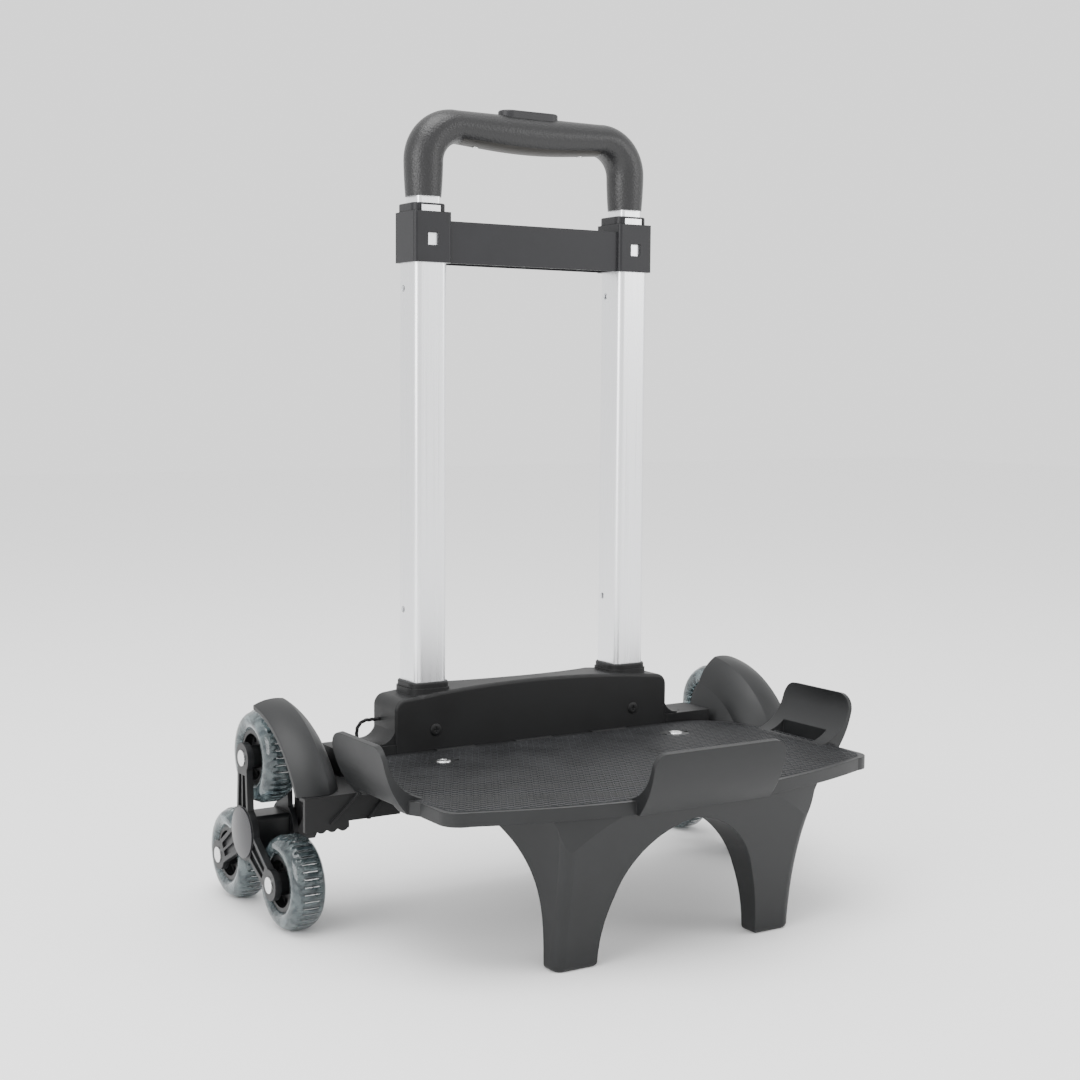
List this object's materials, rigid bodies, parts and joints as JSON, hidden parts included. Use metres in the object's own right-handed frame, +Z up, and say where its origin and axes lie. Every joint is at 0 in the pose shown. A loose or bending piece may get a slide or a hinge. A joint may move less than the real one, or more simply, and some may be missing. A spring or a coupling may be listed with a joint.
{
  "type": "backpack trolley",
  "caption": "Backpack trolley: moulded platform on front legs, three-wheel stair climbers, telescopic twin-tube handle with push-button grip.",
  "frame": {"origin": "on the ground, under the middle of the overall length and width", "axes": "+X to the trolley's right, +Y to its back (the wheel and tube side), +Z up along the tubes"},
  "size_m": [0.4292, 0.3354, 0.5582],
  "materials": {
    "moulded_grey": "satin moulded polypropylene",
    "moulded_dark": "satin moulded polypropylene, nearly black",
    "inner_plastic": "natural moulded nylon, hidden",
    "anodised_tube": "satin silver anodised extrusion",
    "grip_black": "fine leather grain, semi-gloss",
    "spider_plate": "moulded, satin",
    "hub_cap_grey": "smooth gloss",
    "wheel_core": "moulded nylon",
    "tyre_clear": "translucent smoky polyurethane",
    "zinc_steel": "bright zinc plate",
    "cord": "braided cord"
  },
  "bodies": {
    "chassis": {"platform_tray": "moulded_grey", "base_frame": "moulded_dark", "tube_housing": "moulded_dark", "fender_left": "moulded_grey", "fender_right": "moulded_grey", "outer_tube_left": "anodised_tube", "outer_tube_right": "anodised_tube", "tube_collar_left": "moulded_dark", "tube_collar_right": "moulded_dark", "tube_plug_left": "inner_plastic", "tube_plug_right": "inner_plastic", "upper_bracket": "moulded_dark", "hub_axle_left": "zinc_steel", "hub_axle_right": "zinc_steel", "deck_screws": "zinc_steel", "panel_screws": "zinc_steel", "tie_loop": "cord"},
    "middle_stage": {"middle_tube_left": "anodised_tube", "middle_tube_right": "anodised_tube", "middle_head_left": "moulded_dark", "middle_head_right": "moulded_dark", "middle_lock_left": "inner_plastic", "middle_lock_right": "inner_plastic"},
    "handle": {"inner_tube_left": "anodised_tube", "inner_tube_right": "anodised_tube", "inner_lock_left": "inner_plastic", "inner_lock_right": "inner_plastic", "grip_shell": "grip_black", "grip_cover": "grip_black", "grip_screws": "zinc_steel", "button_spring": "zinc_steel"},
    "button": {"push_button": "grip_black", "push_bar": "inner_plastic", "release_rods": "zinc_steel"},
    "spider_left": {"spider_outer_left": "spider_plate", "spider_inner_left": "spider_plate", "hub_spacer_left": "spider_plate", "hub_cap_left": "hub_cap_grey", "wheel_axles_left": "zinc_steel"},
    "wheel_left_top": {"core_left_top": "wheel_core", "tyre_left_top": "tyre_clear"},
    "wheel_left_front": {"core_left_front": "wheel_core", "tyre_left_front": "tyre_clear"},
    "wheel_left_rear": {"core_left_rear": "wheel_core", "tyre_left_rear": "tyre_clear"},
    "spider_right": {"spider_outer_right": "spider_plate", "spider_inner_right": "spider_plate", "hub_spacer_right": "spider_plate", "hub_cap_right": "hub_cap_grey", "wheel_axles_right": "zinc_steel"},
    "wheel_right_top": {"core_right_top": "wheel_core", "tyre_right_top": "tyre_clear"},
    "wheel_right_front": {"core_right_front": "wheel_core", "tyre_right_front": "tyre_clear"},
    "wheel_right_rear": {"core_right_rear": "wheel_core", "tyre_right_rear": "tyre_clear"}
  },
  "joints": [
    {"name": "middle_slide", "type": "slide", "parent": "chassis", "child": "middle_stage", "axis": [0, 0, 1], "range_m": [0, 0.225]},
    {"name": "handle_slide", "type": "slide", "parent": "middle_stage", "child": "handle", "axis": [0, 0, 1], "range_m": [0, 0.225]},
    {"name": "button_press", "type": "slide", "parent": "handle", "child": "button", "axis": [0, 0, -1], "range_m": [0, 0.004], "stiffness_N_per_m": 900, "springref_m": -0.002, "deforming": ["button_spring"]},
    {"name": "spider_left_turn", "type": "hinge", "parent": "chassis", "child": "spider_left", "pos_m": [-0.195, 0.0909, 0.0579], "axis": [1, 0, 0], "continuous": true},
    {"name": "wheel_left_top_spin", "type": "hinge", "parent": "spider_left", "child": "wheel_left_top", "pos_m": [-0.195, 0.0909, 0.1097], "axis": [1, 0, 0], "continuous": true},
    {"name": "wheel_left_front_spin", "type": "hinge", "parent": "spider_left", "child": "wheel_left_front", "pos_m": [-0.195, 0.04604, 0.032], "axis": [1, 0, 0], "continuous": true},
    {"name": "wheel_left_rear_spin", "type": "hinge", "parent": "spider_left", "child": "wheel_left_rear", "pos_m": [-0.195, 0.13576, 0.032], "axis": [1, 0, 0], "continuous": true},
    {"name": "spider_right_turn", "type": "hinge", "parent": "chassis", "child": "spider_right", "pos_m": [0.195, 0.0909, 0.0579], "axis": [1, 0, 0], "continuous": true},
    {"name": "wheel_right_top_spin", "type": "hinge", "parent": "spider_right", "child": "wheel_right_top", "pos_m": [0.195, 0.0909, 0.1097], "axis": [1, 0, 0], "continuous": true},
    {"name": "wheel_right_front_spin", "type": "hinge", "parent": "spider_right", "child": "wheel_right_front", "pos_m": [0.195, 0.04604, 0.032], "axis": [1, 0, 0], "continuous": true},
    {"name": "wheel_right_rear_spin", "type": "hinge", "parent": "spider_right", "child": "wheel_right_rear", "pos_m": [0.195, 0.13576, 0.032], "axis": [1, 0, 0], "continuous": true}
  ]
}
